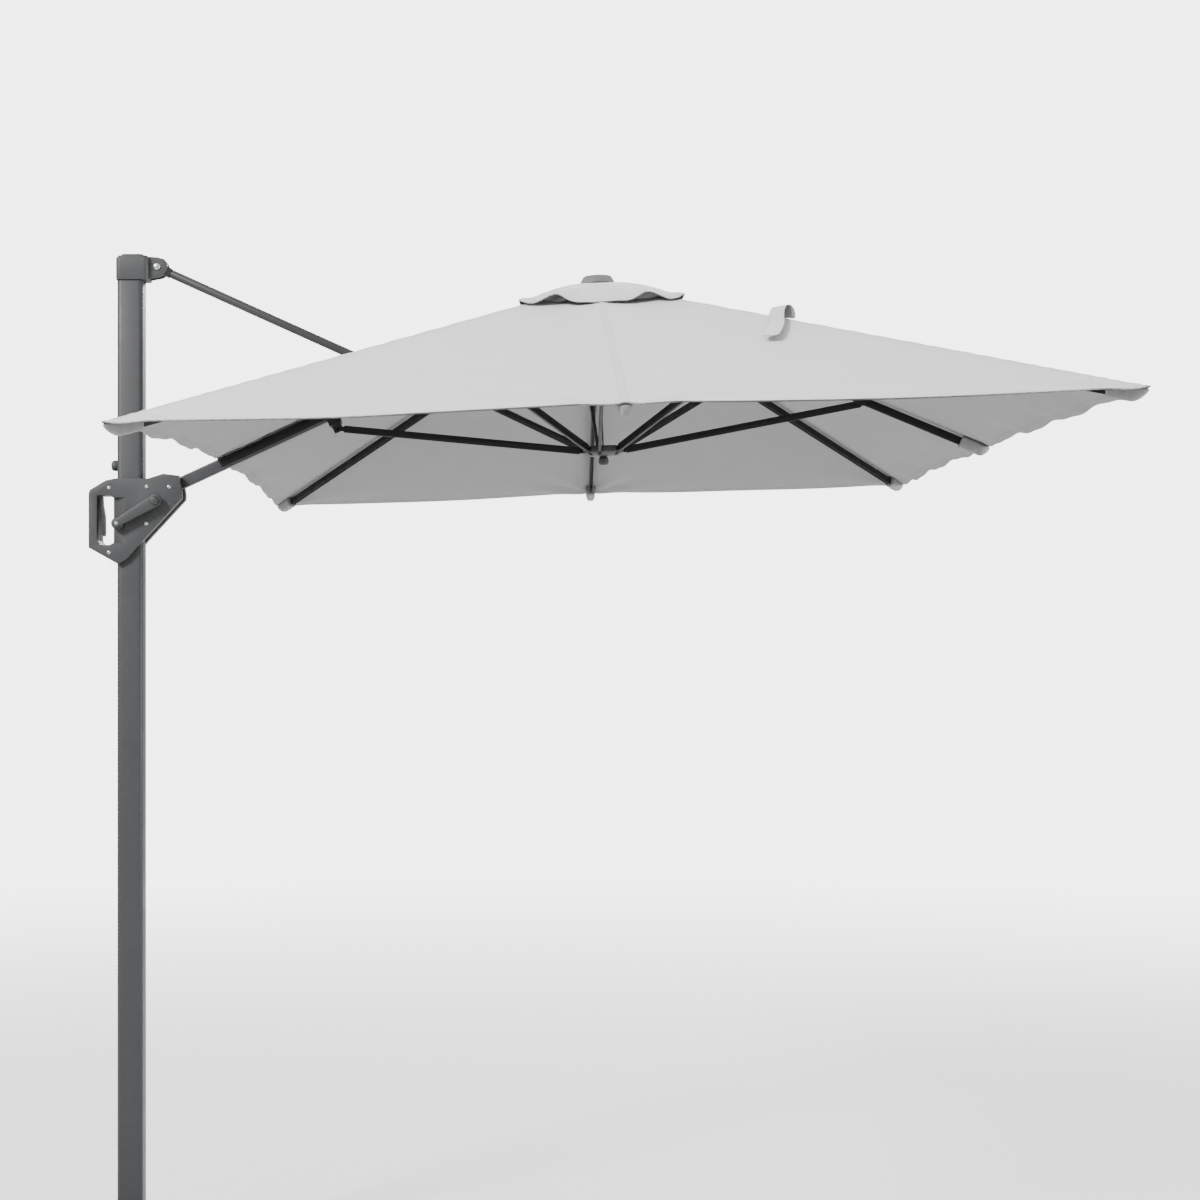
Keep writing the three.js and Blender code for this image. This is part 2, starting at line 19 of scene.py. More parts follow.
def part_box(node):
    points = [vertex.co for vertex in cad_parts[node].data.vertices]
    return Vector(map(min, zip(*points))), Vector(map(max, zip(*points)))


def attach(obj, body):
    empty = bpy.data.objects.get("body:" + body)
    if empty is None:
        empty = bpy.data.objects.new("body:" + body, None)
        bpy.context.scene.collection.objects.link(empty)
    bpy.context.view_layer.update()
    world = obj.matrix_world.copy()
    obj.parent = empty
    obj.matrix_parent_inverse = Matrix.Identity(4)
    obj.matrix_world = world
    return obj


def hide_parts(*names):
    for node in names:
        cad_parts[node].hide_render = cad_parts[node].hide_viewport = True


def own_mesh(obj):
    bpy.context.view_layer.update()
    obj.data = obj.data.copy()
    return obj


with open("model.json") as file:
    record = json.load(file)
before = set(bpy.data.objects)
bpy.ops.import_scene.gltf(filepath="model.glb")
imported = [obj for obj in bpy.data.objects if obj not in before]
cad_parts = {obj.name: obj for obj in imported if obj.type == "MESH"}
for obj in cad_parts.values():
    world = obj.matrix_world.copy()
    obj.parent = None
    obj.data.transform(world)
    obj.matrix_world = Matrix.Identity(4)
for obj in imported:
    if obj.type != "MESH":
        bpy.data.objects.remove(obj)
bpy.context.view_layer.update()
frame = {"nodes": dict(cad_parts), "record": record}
nodes = frame["nodes"]

# %% [markdown]
# ## The camera
#
# The eye stands level at 1.65 m, six metres in front of the canopy's middle. A level camera keeps
# the mast upright, and a lens shift, rather than a tilt, frames the canopy high in the picture.

# %% Camera
eye = bpy.data.cameras.new("eye")
eye.sensor_width = 36.0
eye.lens = 69.66
eye.shift_x = 0.0525
eye.shift_y = 0.0233
camera = bpy.data.objects.new("eye", eye)
camera.location = (1.047, -6.0, 1.65)
camera.rotation_euler = (math.radians(90), 0, 0)
bpy.context.collection.objects.link(camera)
bpy.context.scene.camera = camera
print("camera at", tuple(camera.location), "with a lens of", eye.lens, "mm")

# %% [markdown]
# ## Floor and light
#
# A studio hides its far edge: the pale floor fades into the backdrop, so no horizon shows. A pale
# sky fills the shadows, and three large soft lamps shape the tubes. The key stands to the left and
# high, so the top of the cloth is bright and its underside falls into a soft grey, made darker by
# the painted shade of the cloth's lower side. The backdrop is paler than the sky that lights the
# scene, which a Light Path node allows.

# %% Floor, sky and lamps
SKY, BACKDROP = 1.5, 4.8
FADE_START, FADE_END = 2.5, 10.0


def floor():
    """A pale floor that turns into the backdrop as it runs away from the mast."""
    bpy.ops.mesh.primitive_plane_add(size=240, location=(1, 0, 0))
    ground = bpy.context.object
    ground.name = "floor"
    paper = bpy.data.materials.new("floor_paper")
    paper.use_nodes = True
    tree = paper.node_tree
    shader = tree.nodes["Principled BSDF"]
    shader.inputs["Base Color"].default_value = (0.66, 0.66, 0.66, 1)
    shader.inputs["Roughness"].default_value = 0.9
    shader.inputs["Specular IOR Level"].default_value = 0.1
    spot = tree.nodes.new("ShaderNodeTexCoord").outputs["Object"]
    far = tree.nodes.new("ShaderNodeVectorMath")
    far.operation = "LENGTH"
    tree.links.new(spot, far.inputs[0])
    ramp = tree.nodes.new("ShaderNodeMapRange")
    ramp.interpolation_type = "SMOOTHSTEP"
    ramp.inputs["From Min"].default_value = FADE_START
    ramp.inputs["From Max"].default_value = FADE_END
    tree.links.new(far.outputs["Value"], ramp.inputs["Value"])
    seen = tree.nodes.new("ShaderNodeLightPath").outputs["Is Camera Ray"]
    share = tree.nodes.new("ShaderNodeMath")
    share.operation = "MULTIPLY"
    tree.links.new(ramp.outputs[0], share.inputs[0])
    tree.links.new(seen, share.inputs[1])
    glow = tree.nodes.new("ShaderNodeEmission")
    glow.inputs["Strength"].default_value = BACKDROP
    mix = tree.nodes.new("ShaderNodeMixShader")
    tree.links.new(share.outputs[0], mix.inputs[0])
    tree.links.new(shader.outputs[0], mix.inputs[1])
    tree.links.new(glow.outputs[0], mix.inputs[2])
    tree.links.new(mix.outputs[0], tree.nodes["Material Output"].inputs[0])
    ground.data.materials.append(paper)


def sky():
    """A soft sky that lights the scene, with a paler backdrop where it is seen directly."""
    world = bpy.data.worlds.new("sky")
    world.use_nodes = True
    tree = world.node_tree
    soft = tree.nodes["Background"]
    soft.inputs["Color"].default_value = (1, 1, 1, 1)
    soft.inputs["Strength"].default_value = SKY
    pale = tree.nodes.new("ShaderNodeBackground")
    pale.inputs["Color"].default_value = (1, 1, 1, 1)
    pale.inputs["Strength"].default_value = BACKDROP
    seen = tree.nodes.new("ShaderNodeLightPath").outputs["Is Camera Ray"]
    mix = tree.nodes.new("ShaderNodeMixShader")
    tree.links.new(seen, mix.inputs[0])
    tree.links.new(soft.outputs[0], mix.inputs[1])
    tree.links.new(pale.outputs[0], mix.inputs[2])
    tree.links.new(mix.outputs[0], tree.nodes["World Output"].inputs[0])
    bpy.context.scene.world = world


def lamp(name, place, aim, size, power):
    light = bpy.data.lights.new(name, "AREA")
    light.shape = "DISK"
    light.size = size
    light.energy = power
    holder = bpy.data.objects.new(name, light)
    holder.location = place
    way = Vector(aim) - Vector(place)
    holder.rotation_euler = way.to_track_quat("-Z", "Y").to_euler()
    bpy.context.collection.objects.link(holder)


floor()
sky()
lamp("key", (-4.5, -5.5, 6.5), (1.0, 0, 2.2), 2.0, 1700)
lamp("side", (6.5, -1.0, 2.6), (0.0, 0, 1.6), 1.5, 500)
lamp("back", (1.5, 6.5, 5.5), (1.0, 0, 2.2), 3.0, 700)
print("lit by", len(bpy.data.lights), "lamps and the sky")

# %% [markdown]
# ## Writing shaders as sums
#
# A shader is a web of nodes, and sums on its numbers are easier to read as Python. `Value` wraps
# one socket and turns each operator into a Math node; `Finish` holds a material and makes any
# other node from its type, its settings and the values or links of its sockets.

# %% Shader helpers
class Value:
    """A number that varies over a surface: one output socket of a finish."""

    def __init__(self, finish, socket):
        self.finish, self.socket = finish, socket

    def maths(self, operation, *others):
        made = self.finish.node("Math", {"operation": operation}, [self, *others])
        return Value(self.finish, made.outputs[0])

    def __add__(self, other):
        return self.maths("ADD", other)

    def __sub__(self, other):
        return self.maths("SUBTRACT", other)

    def __rsub__(self, other):
        return (self * -1).maths("ADD", other)

    def __mul__(self, other):
        return self.maths("MULTIPLY", other)

    __radd__ = __add__
    __rmul__ = __mul__

    def sine(self):
        return self.maths("SINE")

    def size(self):
        return self.maths("ABSOLUTE")

    def below(self, edge, soft):
        """1 under the edge, 0 over it, with a soft step between."""
        over = (self * (-1 / soft) + (edge / soft + 0.5)).maths("MAXIMUM", 0.0)
        return over.maths("MINIMUM", 1.0)


class Finish:
    """A material, its Principled shader and short ways to add nodes to it."""

    def __init__(self, name):
        self.material = bpy.data.materials.new(name)
        self.material.use_nodes = True
        self.tree = self.material.node_tree
        self.shader = self.tree.nodes["Principled BSDF"]
        self.points = self.node("TexCoord").outputs["Object"]

    def node(self, kind, settings=None, sockets=None):
        made = self.tree.nodes.new("ShaderNode" + kind)
        for key, setting in (settings or {}).items():
            setattr(made, key, setting)
        pairs = sockets.items() if isinstance(sockets, dict) else enumerate(sockets or [])
        for key, value in pairs:
            self.plug(value, made.inputs[key])
        return made

    def plug(self, value, socket):
        if isinstance(value, Value):
            value = value.socket
        if isinstance(value, bpy.types.NodeSocket):
            self.tree.links.new(value, socket)
        else:
            socket.default_value = value

    def noise(self, scale, detail=2.0, points=None):
        made = self.node("TexNoise", None, {
            "Vector": points or self.points, "Scale": scale, "Detail": detail,
        })
        return Value(self, made.outputs["Fac"])

    def tint(self, dark, light, share):
        made = self.node("Mix", {"data_type": "RGBA"}, {0: share, 6: (*dark, 1), 7: (*light, 1)})
        return made.outputs[2]

    def bump(self, height, depth):
        sockets = {"Height": height, "Strength": 1.0, "Distance": depth}
        return self.node("Bump", None, sockets).outputs[0]

    def set(self, **sockets):
        for key, value in sockets.items():
            self.plug(value, self.shader.inputs[key.replace("_", " ")])
        return self.material


def shade(colour, by):
    return tuple(min(c * by, 1.0) for c in colour)


# %% [markdown]
# ## The finishes
#
# Powder coat is a baked paint with a fine pebble. It varies a little in tone, and it is smoother
# where hands rub it. Moulded plastic has a finer, duller grain from its mould. The screws are
# zinc plated, so they are bright with a faint brushed roughness.

# %% Paint, plastic, metal and rubber
def powder_coat(name, colour, roughness):
    f = Finish(name)
    tone = f.noise(2.5, 4) * 0.6 + f.noise(40, 3) * 0.4
    pebble = f.noise(900, 2)
    rubbed = (f.noise(9, 5) * -1 + 1).below(0.42, 0.12)
    return f.set(
        Base_Color=f.tint(shade(colour, 0.86), shade(colour, 1.16), tone),
        Roughness=roughness + tone * 0.12 + rubbed * -0.08,
        Normal=f.bump(pebble, 0.00012),
        Metallic=0.25,
        Specular_IOR_Level=0.25,
    )


def moulded(name, colour, roughness):
    f = Finish(name)
    tone = f.noise(5, 3)
    grain = f.noise(1600, 3)
    scuff = f.noise(60, 6).below(0.36, 0.05)
    return f.set(
        Base_Color=f.tint(shade(colour, 0.9), shade(colour, 1.2), tone * 0.7 + scuff * 0.3),
        Roughness=roughness + tone * 0.1 + scuff * 0.08,
        Normal=f.bump(grain, 0.00008),
        Specular_IOR_Level=0.3,
    )


def plated(name, colour):
    f = Finish(name)
    stretched = f.node("Mapping", None, {"Vector": f.points, "Scale": (60, 60, 900)}).outputs[0]
    brushed = f.noise(1.0, 2, stretched)
    return f.set(
        Base_Color=f.tint(shade(colour, 0.8), colour, brushed),
        Roughness=0.24 + brushed * 0.16,
        Metallic=1.0,
    )


def rubbery(name, colour):
    f = Finish(name)
    dust = f.noise(25, 5)
    return f.set(
        Base_Color=f.tint(colour, shade(colour, 2.4), dust.below(0.45, 0.2)),
        Roughness=0.78 + dust * 0.15,
        Normal=f.bump(f.noise(700, 2), 0.0001),
    )


GREY_COAT = powder_coat("grey_powder_coat", (0.028, 0.0288, 0.030), 0.44)
# Painted shade: ribs and stretchers get a near-black coat, much darker than the mast, to stand for
# the deep shade under the canopy.
RIB_SHADE_COAT = powder_coat("rib_coat_painted_shade", (0.0055, 0.0057, 0.0060), 0.5)
FOOT_COAT = powder_coat("foot_powder_coat", (0.016, 0.0165, 0.0175), 0.5)
DARK_PLASTIC = moulded("dark_moulding", (0.023, 0.0237, 0.0247), 0.48)
GREY_PLASTIC = moulded("grey_moulding", (0.085, 0.087, 0.09), 0.45)
BOLT_METAL = plated("zinc_plate", (0.42, 0.425, 0.43))
RUBBER = rubbery("foot_rubber", (0.012, 0.012, 0.013))
print("rigid finishes:", len(bpy.data.materials))

# %% [markdown]
# ## The cloth
#
# Parasol cloth is a plain weave of dyed yarn, matt on both sides. Each cloth piece carries two UV
# maps: `weave`, in metres along the threads, and `edges`, the distance in metres from the seam over
# the rib and from the hem. The first draws the yarns, the second the stitch lines and a slight
# painted shade where the cloth is folded over. Every sheet has a second material for its lower
# side, a darker grey that is painted shade under the canopy. The hoist's braid is a plaited cord,
# so its pattern repeats along its height.

# %% Cloth and braid
YARN = 0.0011
STITCH = 0.004
SEAM_ROW, SEAM_FOLD = 0.006, 0.009
HEM_ROW, HEM_FOLD = 0.021, 0.024


def cloth(name, colour):
    f = Finish(name)
    weave = f.node("SeparateXYZ", None, [f.node("UVMap", {"uv_map": "weave"}).outputs[0]])
    edges = f.node("SeparateXYZ", None, [f.node("UVMap", {"uv_map": "edges"}).outputs[0]])
    across, along = Value(f, weave.outputs[0]), Value(f, weave.outputs[1])
    seam, hem = Value(f, edges.outputs[0]), Value(f, edges.outputs[1])
    turns = 2 * math.pi / YARN
    yarns = (across * turns).sine() * (along * turns).sine()
    slub = f.noise(14, 5)
    thread = f.noise(650, 3)
    stitch = ((along + across) * (2 * math.pi / STITCH)).sine().below(-0.1, 0.6)
    row = (seam - SEAM_ROW).size().below(0.0011, 0.0008)
    hem_row = (hem - HEM_ROW).size().below(0.0013, 0.0010)
    sewn = (row + hem_row).maths("MINIMUM", 1.0) * (1 - stitch * 0.5)
    # Painted shade: the colour is darkened in the band along the seam and the hem where the cloth
    # is folded over; the same band also raises the bump.
    folded_and_shaded = seam.below(SEAM_FOLD, 0.003).maths("MAXIMUM", hem.below(HEM_FOLD, 0.003))
    tone = slub * 0.5 + thread * 0.3 + yarns * 0.1 - folded_and_shaded * 0.22 - sewn * 0.9 + 0.12
    height = yarns * 0.4 + thread * 0.5 - sewn * 1.6 + folded_and_shaded * 1.2
    material = f.set(
        Base_Color=f.tint(shade(colour, 0.84), shade(colour, 1.08), tone),
        Roughness=0.86 + slub * 0.1,
        Normal=f.bump(height, 0.00035),
    )
    f.shader.inputs["Sheen Weight"].default_value = 0.15
    return material


def braid(name, colour):
    f = Finish(name)
    parts = f.node("SeparateXYZ", None, [f.points])
    plait = (Value(f, parts.outputs[2]) * 2400).sine()
    return f.set(
        Base_Color=f.tint(shade(colour, 0.6), shade(colour, 1.6), plait * 0.5 + 0.5),
        Roughness=0.85,
        Normal=f.bump(plait, 0.0003),
    )


CLOTH = cloth("canopy_cloth", (0.47, 0.47, 0.462))
# Painted shade: a darker grey cloth for the lower side of every sheet, the pockets and one side of
# the strap.
SHADED_UNDERSIDE = cloth("canopy_painted_shade_side", (0.158, 0.158, 0.155))
# Painted shade: a near-black cloth for the vent cap's lower side, where its opening lies in shade.
VENT_SHADE_CLOTH = cloth("vent_painted_shade", (0.045, 0.045, 0.045))
BRAID = braid("hoist_braid", (0.012, 0.012, 0.013))
print("all finishes:", sorted(m.name for m in bpy.data.materials))

# %% [markdown]
# ## The rigid pieces
#
# The frame's nodes have true shapes with sharp edges. A Weld joins their loose triangles, a Bevel
# rounds the edges as a press or a mould would, and an Edge Split keeps round sides smooth and flat
# ones crisp. The stack stays live, because each node sits at the origin.

# %% Dress the frame's nodes
LOOKS = {
    "mast_paint": GREY_COAT, "rib_paint": RIB_SHADE_COAT, "foot_paint": FOOT_COAT,
    "dark_plastic": DARK_PLASTIC, "grey_plastic": GREY_PLASTIC, "bolt_steel": BOLT_METAL,
    "black_rubber": RUBBER, "canopy_cloth": CLOTH, "hoist_braid": BRAID,
}
ROUNDING = {
    "carrier_near_shell": 0.0045, "carrier_far_shell": 0.0045, "mast_cap": 0.003,
    "crank_arm": 0.003, "mast_collar": 0.003, "swivel_pedal": 0.0015, "foot_plate": 0.0015,
}
USUAL_ROUNDING = 0.0008
MERGE = 0.00002


def dress(name, slot):
    piece = nodes[name]
    piece.data.materials.clear()
    piece.data.materials.append(LOOKS[slot])
    weld = piece.modifiers.new("weld", "WELD")
    weld.merge_threshold = MERGE
    bevel = piece.modifiers.new("rounding", "BEVEL")
    bevel.width = ROUNDING.get(name, USUAL_ROUNDING)
    bevel.segments = 3 if name in ROUNDING else 2
    bevel.limit_method = "ANGLE"
    bevel.angle_limit = math.radians(38)
    bevel.use_clamp_overlap = True
    split = piece.modifiers.new("crisp", "EDGE_SPLIT")
    split.split_angle = math.radians(32)


for part in frame["record"]["subparts"]:
    dress(part["node"], part["material_slot"])
for piece in nodes.values():
    piece.data.shade_smooth()
print("dressed", len(nodes), "nodes")

# %% [markdown]
# ## Turned fittings
#
# Knobs, screw heads and the finial are round about one axis. A half profile with a Screw modifier
# is the natural way to make them: the profile is drawn from top to bottom, spun, placed and set.

# %% A helper for turned pieces
def mesh_object(name, vertices, faces=(), edges=()):
    mesh = bpy.data.meshes.new(name)
    mesh.from_pydata([tuple(v) for v in vertices], edges, faces)
    piece = bpy.data.objects.new(name, mesh)
    bpy.context.collection.objects.link(piece)
    return piece


def settle(piece):
    """Applies a piece's modifiers and its place, so that it sits at the origin."""
    bpy.context.view_layer.update()
    graph = bpy.context.evaluated_depsgraph_get()
    made = bpy.data.meshes.new_from_object(piece.evaluated_get(graph))
    made.transform(piece.matrix_world)
    piece.modifiers.clear()
    piece.data = made
    piece.matrix_world = Matrix()


def face_outwards(piece, merge=None):
    """Joins doubled points where asked, then turns every face outwards."""
    shell = bmesh.new()
    shell.from_mesh(piece.data)
    if merge:
        bmesh.ops.remove_doubles(shell, verts=shell.verts, dist=merge)
    bmesh.ops.recalc_face_normals(shell, faces=shell.faces)
    shell.to_mesh(piece.data)
    shell.free()
    return piece


def axis_frame(place, way):
    """A place whose Z runs along a direction."""
    turn = Vector(way).to_track_quat("Z", "Y").to_matrix().to_4x4()
    return Matrix.Translation(Vector(place)) @ turn


def turned(name, profile, place, way, material, body, sides=48):
    rows = [(radius, 0, height) for radius, height in profile]
    piece = mesh_object(name, rows, edges=[(i, i + 1) for i in range(len(rows) - 1)])
    screw = piece.modifiers.new("spin", "SCREW")
    screw.steps = screw.render_steps = sides
    screw.use_merge_vertices = True
    screw.merge_threshold = 0.00001
    screw.use_normal_calculate = False
    bevel = piece.modifiers.new("edge", "BEVEL")
    bevel.width = 0.0006
    bevel.segments = 2
    bevel.limit_method = "ANGLE"
    bevel.angle_limit = math.radians(35)
    piece.matrix_world = axis_frame(place, way)
    settle(piece)
    face_outwards(piece, merge=0.00001)
    piece.data.shade_smooth()
    piece.data.set_sharp_from_angle(angle=math.radians(40))
    piece.data.materials.append(material)
    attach(piece, body)
    return piece


# %% [markdown]
# ## Knobs on the mast, the crank and the canopy
#
# The stop knob keeps the carrier from riding too high. The crank's knob turns in the hand. The
# finial clamps the vent cap, and the knob under the runner is what a hand pulls. Each stands in
# for its plainer node. The canopy leans 1.95 degrees towards the mast's side, so it has a place and
# a frame of its own, which the finial and all the cloth share.

# %% Turned pieces that stand for nodes
def middle(node):
    low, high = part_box(node)
    return (Vector(low) + Vector(high)) / 2


CANOPY_TILT = math.radians(1.95)
CANOPY_PLACE = Matrix.Translation((1.203, 0, 2.549)) @ Matrix.Rotation(-CANOPY_TILT, 4, "Y")
CANOPY_TURN = CANOPY_PLACE.to_3x3()
CANOPY_UP = CANOPY_TURN @ Vector((0, 0, 1))


def stop_knob():
    centre = middle("stop_knob")
    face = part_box("stop_knob")[1][0]
    profile = [(0, 0.0188), (0.007, 0.0186), (0.0105, 0.0174), (0.0128, 0.0145), (0.0138, 0.011),
               (0.014, 0.005), (0.0128, 0.002), (0.0128, 0.0), (0, 0.0)]
    knob = turned("stop_knob_round", profile, (face, 0, centre.z), (-1, 0, 0), DARK_PLASTIC, "mast")
    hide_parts("stop_knob")


def crank_knob():
    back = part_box("crank_knob")[1][1]
    centre = middle("crank_knob")
    profile = [(0, 0.0229), (0.0045, 0.0227), (0.0078, 0.0214), (0.0098, 0.019), (0.0109, 0.0145),
               (0.0105, 0.009), (0.0092, 0.005), (0.008, 0.002), (0.008, 0), (0, 0)]
    knob = turned("crank_knob_round", profile, (centre.x, back, centre.z), (0, -1, 0),
                  DARK_PLASTIC, "crank_knob")
    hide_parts("crank_knob")


def finial():
    profile = [(0, 0.0098), (0.030, 0.0096), (0.0350, 0.0088), (0.0375, 0.0062), (0.0443, -0.0066),
               (0.0455, -0.0098), (0.0445, -0.0112), (0.0, -0.0112)]
    cap = turned("finial_round", profile, CANOPY_PLACE.translation, CANOPY_UP, GREY_PLASTIC,
                 "arm", 64)
    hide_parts("finial")


def runner_knob():
    low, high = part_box("runner_knob")
    centre = middle("runner_knob")
    tall = high[2] - low[2]
    profile = [(0, 0.0), (0.009, 0.0), (0.0096, -0.002), (0.0125, -0.0045), (0.013, -0.008),
               (0.013, -0.0165), (0.0118, -0.0195), (0.009, -tall), (0, -tall)]
    knob = turned("runner_knob_round", profile, (centre.x, 0, high[2]), CANOPY_UP,
                  DARK_PLASTIC, "runner")
    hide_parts("runner_knob")


stop_knob()
crank_knob()
finial()
runner_knob()
print("turned the knobs and the finial")

# %% [markdown]
# ## Screws
#
# The carrier's two shells are held by pan head screws with a cross recess. Each head is turned
# upright at the origin, its cross is cut with two Boolean blades, and then it takes its place. The
# dark rings mark the moulded holes beside them.

# %% Screw heads
SCREWS = [(-0.051, 2.010), (0.046, 2.012), (0.103, 2.012), (0.045, 1.918), (-0.051, 1.844)]
HOLES = [(-0.094, 1.990), (-0.094, 1.897), (0.102, 1.970)]


def box_mesh(name, low, high):
    corners = [(x, y, z) for x in (low[0], high[0]) for y in (low[1], high[1])
               for z in (low[2], high[2])]
    faces = [(0, 1, 3, 2), (4, 6, 7, 5), (0, 4, 5, 1), (2, 3, 7, 6), (0, 2, 6, 4), (1, 5, 7, 3)]
    return mesh_object(name, corners, faces)


def screw_head(name, place, way, radius, body):
    """A pan head whose sizes follow its radius."""
    tall = radius * 0.55
    blade_long, blade_thick = radius * 0.62, radius * 0.16
    profile = [(0, tall), (radius * 0.45, tall * 0.96), (radius * 0.8, tall * 0.7),
               (radius, tall * 0.25), (radius, 0), (0, 0)]
    head = turned(name, profile, (0, 0, 0), (0, 0, 1), BOLT_METAL, body, 24)
    for x, y in ((blade_long, blade_thick), (blade_thick, blade_long)):
        blade = box_mesh("blade", (-x, -y, tall * 0.45), (x, y, tall * 2))
        cutter = head.modifiers.new("cross", "BOOLEAN")
        cutter.operation = "DIFFERENCE"
        cutter.object = blade
        cutter.solver = "EXACT"
        settle(head)
        bpy.data.objects.remove(blade)
    head.matrix_world = axis_frame(place, way)
    settle(head)
    head.data.set_sharp_from_angle(angle=math.radians(40))


def carrier_screws():
    face = abs(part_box("carrier_near_shell")[0][1])
    for side, word in ((-1, "near"), (1, "far")):
        for i, (x, z) in enumerate(SCREWS):
            place = (x, side * (face - 0.0004), z)
            screw_head(f"carrier_screw_{word}_{i}", place, (0, side, 0), 0.0052, "carrier")
        for i, (x, z) in enumerate(HOLES):
            profile = [(0, 0.0004), (0.0034, 0.0006), (0.0042, 0.0009), (0.0050, 0.0006),
                       (0.0054, -0.0005), (0, -0.0005)]
            ring = turned(f"carrier_hole_{word}_{i}", profile, (x, side * face, z), (0, side, 0),
                          DARK_PLASTIC, "carrier", 24)


carrier_screws()
print("made", 2 * len(SCREWS), "screws and", 2 * len(HOLES), "hole rings")

# %% [markdown]
# ## The carrier's shells and the crank
#
# The two shells are mouldings with a hollow scooped beside the hand slot, so that the fingers find
# room. A copy of each shell is welded, the hollows are cut from it with a Boolean, and a Bevel then
# rounds every edge, old and new. The crank lever is a tapered bar that widens towards its knob.

# %% Carrier shells and crank lever
CRANK_X, CRANK_Z, CRANK_TURN = -0.028, 1.918, math.radians(30.4)
SCOOP_LEFT, SCOOP_RIGHT, SCOOP_DEEP = -0.046, -0.008, 0.017
SCOOP_LOW, SCOOP_HIGH = 1.867, 1.985


def prism_xz(name, outline, low, high):
    """A plate with its outline in the XZ plane, between two depths along Y."""
    count = len(outline)
    points = [(x, y, z) for y in (low, high) for x, z in outline]
    faces = [tuple(range(count)), tuple(range(2 * count - 1, count - 1, -1))]
    faces += [(i, i + count, (i + 1) % count + count, (i + 1) % count) for i in range(count)]
    piece = mesh_object(name, points, faces)
    return face_outwards(piece)


def scoop_cutter(side, face):
    """A wedge that is deep at the hand slot and fades out away from it."""
    rows = [(SCOOP_LEFT, face + 0.004), (SCOOP_LEFT, face - SCOOP_DEEP),
            (SCOOP_RIGHT, face + 0.0005), (SCOOP_RIGHT, face + 0.004)]
    points = [(x, side * y, z) for z in (SCOOP_LOW, SCOOP_HIGH) for x, y in rows]
    faces = [(0, 1, 2, 3), (7, 6, 5, 4), (0, 4, 5, 1), (1, 5, 6, 2), (2, 6, 7, 3), (3, 7, 4, 0)]
    return face_outwards(mesh_object("scoop", points, faces))


def carrier_shell(node, side):
    piece = nodes[node].copy()
    piece.data = nodes[node].data.copy()
    piece.modifiers.clear()
    piece.name = node + "_moulding"
    for key in list(piece.keys()):
        del piece[key]
    bpy.context.collection.objects.link(piece)
    shell = bmesh.new()
    shell.from_mesh(piece.data)
    bmesh.ops.remove_doubles(shell, verts=shell.verts, dist=MERGE)
    bmesh.ops.dissolve_limit(shell, angle_limit=0.01, verts=shell.verts, edges=shell.edges)
    shell.to_mesh(piece.data)
    shell.free()
    face = abs(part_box("carrier_near_shell")[0][1])
    cutter = scoop_cutter(side, face)
    scoop = piece.modifiers.new("scoop", "BOOLEAN")
    scoop.operation, scoop.solver, scoop.object = "DIFFERENCE", "EXACT", cutter
    settle(piece)
    bpy.data.objects.remove(cutter)
    rounding = piece.modifiers.new("rounding", "BEVEL")
    rounding.width, rounding.segments = 0.0042, 3
    rounding.limit_method, rounding.angle_limit = "ANGLE", math.radians(24)
    settle(piece)
    piece.data.shade_smooth()
    piece.data.set_sharp_from_angle(angle=math.radians(35))
    piece.data.materials.clear()
    piece.data.materials.append(DARK_PLASTIC)
    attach(piece, "carrier")
    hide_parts(node)


def crank_lever():
    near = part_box("carrier_near_shell")[0][1]
    upper = [(-0.0125, 0.004), (-0.010, 0.008), (-0.004, 0.0105), (0.114, 0.0160),
             (0.122, 0.0150), (0.128, 0.0105), (0.1305, 0.005)]
    outline = upper + [(x, -half) for x, half in reversed(upper)]
    c, s = math.cos(CRANK_TURN), math.sin(CRANK_TURN)
    spun = [(CRANK_X + x * c - z * s, CRANK_Z + x * s + z * c) for x, z in outline]
    lever = prism_xz("crank_lever", spun, near - 0.0245, near - 0.012)
    rounding = lever.modifiers.new("rounding", "BEVEL")
    rounding.width, rounding.segments = 0.0032, 3
    rounding.limit_method, rounding.angle_limit = "ANGLE", math.radians(50)
    settle(lever)
    lever.data.shade_smooth()
    lever.data.set_sharp_from_angle(angle=math.radians(38))
    lever.data.materials.append(DARK_PLASTIC)
    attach(lever, "crank")
    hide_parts("crank_arm")
    hub = [(0, 0.0135), (0.0135, 0.0135), (0.0155, 0.010), (0.0165, 0.0), (0, 0.0)]
    boss = turned("crank_boss", hub, (CRANK_X, near - 0.0005, CRANK_Z), (0, -1, 0),
                  DARK_PLASTIC, "crank")
    screw_head("crank_screw", (CRANK_X, near - 0.0243, CRANK_Z), (0, -1, 0), 0.0046, "crank")


carrier_shell("carrier_near_shell", -1)
carrier_shell("carrier_far_shell", 1)
crank_lever()
print("made the carrier's shells and the crank lever")

# %% [markdown]
# ## The canopy's plan
#
# In the canopy's own frame the origin is the apex and the ribs run out in eight directions, four to
# the corners and four to the middles of the sides. The cloth between two ribs is a gore. The cloth
# has to fold with the ribs, so it is made as two wings for each rib, which meet in the middle of
# the gores on exactly the same line and with the same normals, so no join shows. The rib on the
# mast's side is a pair of bars with the arm between them, and the strut comes through a slit there.

